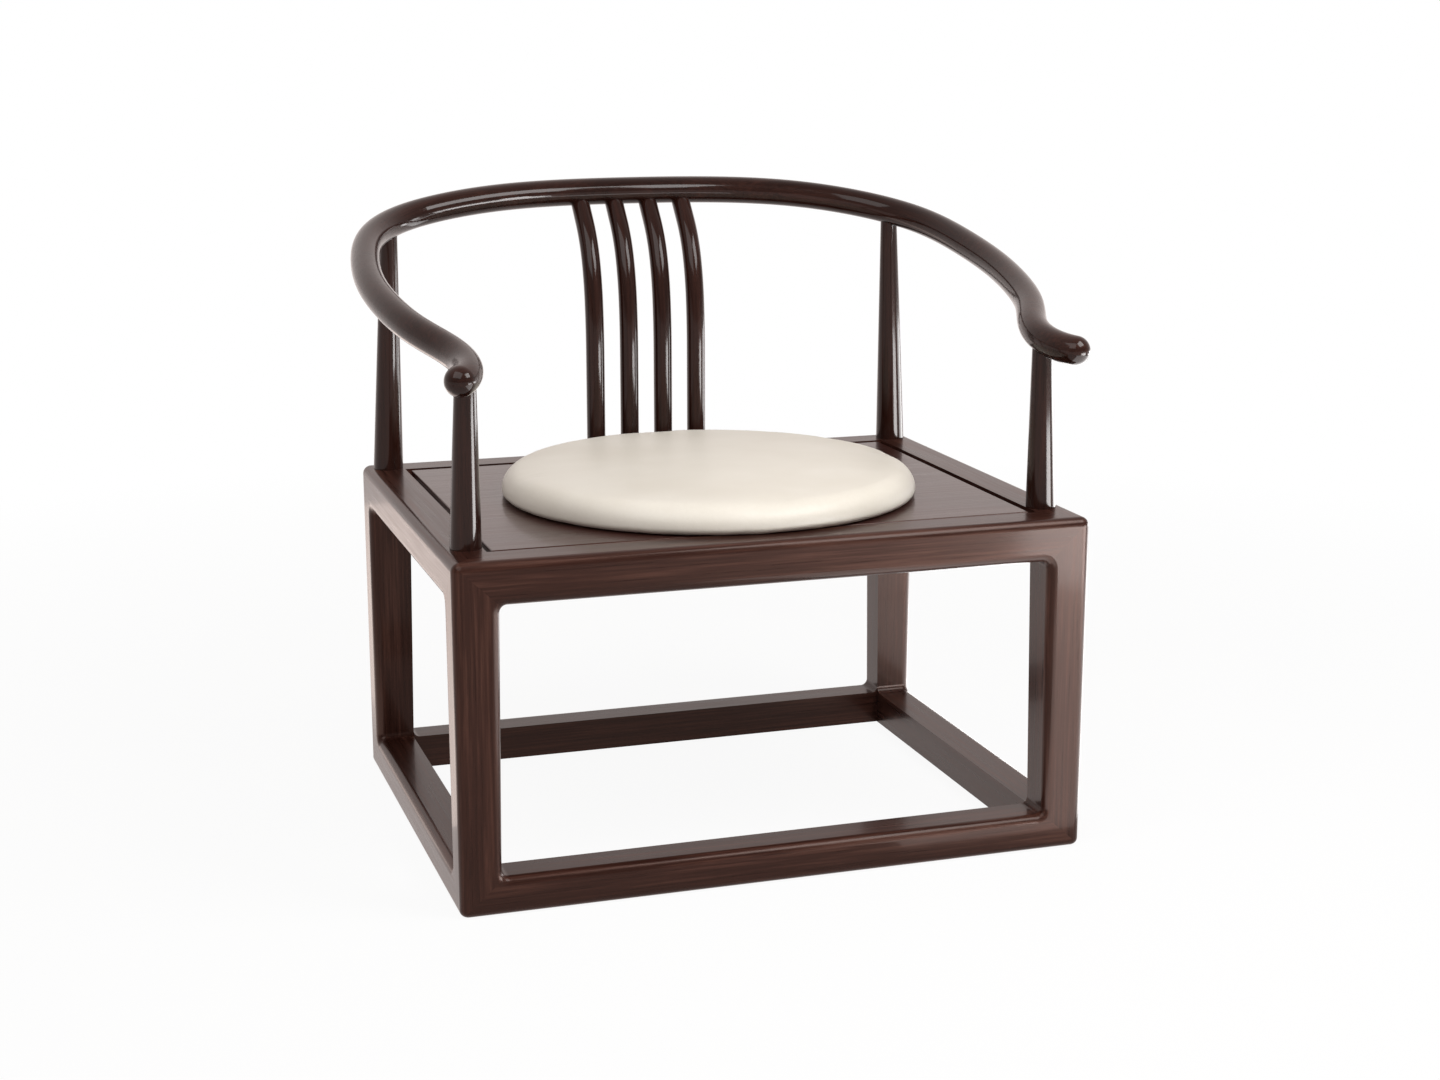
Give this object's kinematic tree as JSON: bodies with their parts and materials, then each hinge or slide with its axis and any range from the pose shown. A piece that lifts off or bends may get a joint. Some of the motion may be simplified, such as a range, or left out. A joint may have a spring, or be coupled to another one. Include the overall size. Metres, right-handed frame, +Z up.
{
  "type": "armchair",
  "caption": "Low horseshoe armchair with a square box frame, round posts and bent back spindles under a continuous round arm rail, and a loose round cushion.",
  "frame": {"origin": "on the floor under the middle of the chair's overall box", "axes": "+X points right for someone who faces the chair, +Y points to the back, +Z points up"},
  "size_m": [0.7914, 0.6123, 0.727],
  "materials": {
    "frame_wood": "satin",
    "panel_wood": "satin",
    "wedge_wood": "satin",
    "cushion_leather": "satin",
    "cushion_filling": "matte"
  },
  "bodies": {
    "chair_frame": {"arm_rail_left": "frame_wood", "arm_rail_right": "frame_wood", "arm_wedge_left": "wedge_wood", "arm_wedge_right": "wedge_wood", "back_spindle_1": "frame_wood", "back_spindle_2": "frame_wood", "back_spindle_3": "frame_wood", "back_spindle_4": "frame_wood", "bend_rail_left": "frame_wood", "bend_rail_right": "frame_wood", "crest_rail": "frame_wood", "crest_wedge_left": "wedge_wood", "crest_wedge_right": "wedge_wood", "floor_rail_front": "frame_wood", "floor_rail_left": "frame_wood", "floor_rail_rear": "frame_wood", "floor_rail_right": "frame_wood", "front_post_left": "frame_wood", "front_post_right": "frame_wood", "leg_front_left": "frame_wood", "leg_front_right": "frame_wood", "leg_rear_left": "frame_wood", "leg_rear_right": "frame_wood", "rear_post_left": "frame_wood", "rear_post_right": "frame_wood", "seat_batten_left": "panel_wood", "seat_batten_right": "panel_wood", "seat_panel": "panel_wood", "seat_rail_front": "frame_wood", "seat_rail_left": "frame_wood", "seat_rail_rear": "frame_wood", "seat_rail_right": "frame_wood"},
    "cushion": {"cushion_cover": "cushion_leather", "cushion_foam": "cushion_filling"}
  },
  "joints": [
    {"name": "cushion_lift", "type": "slide", "parent": "chair_frame", "child": "cushion", "axis": [0, 0, 1], "range_m": [0, 0.36]}
  ]
}
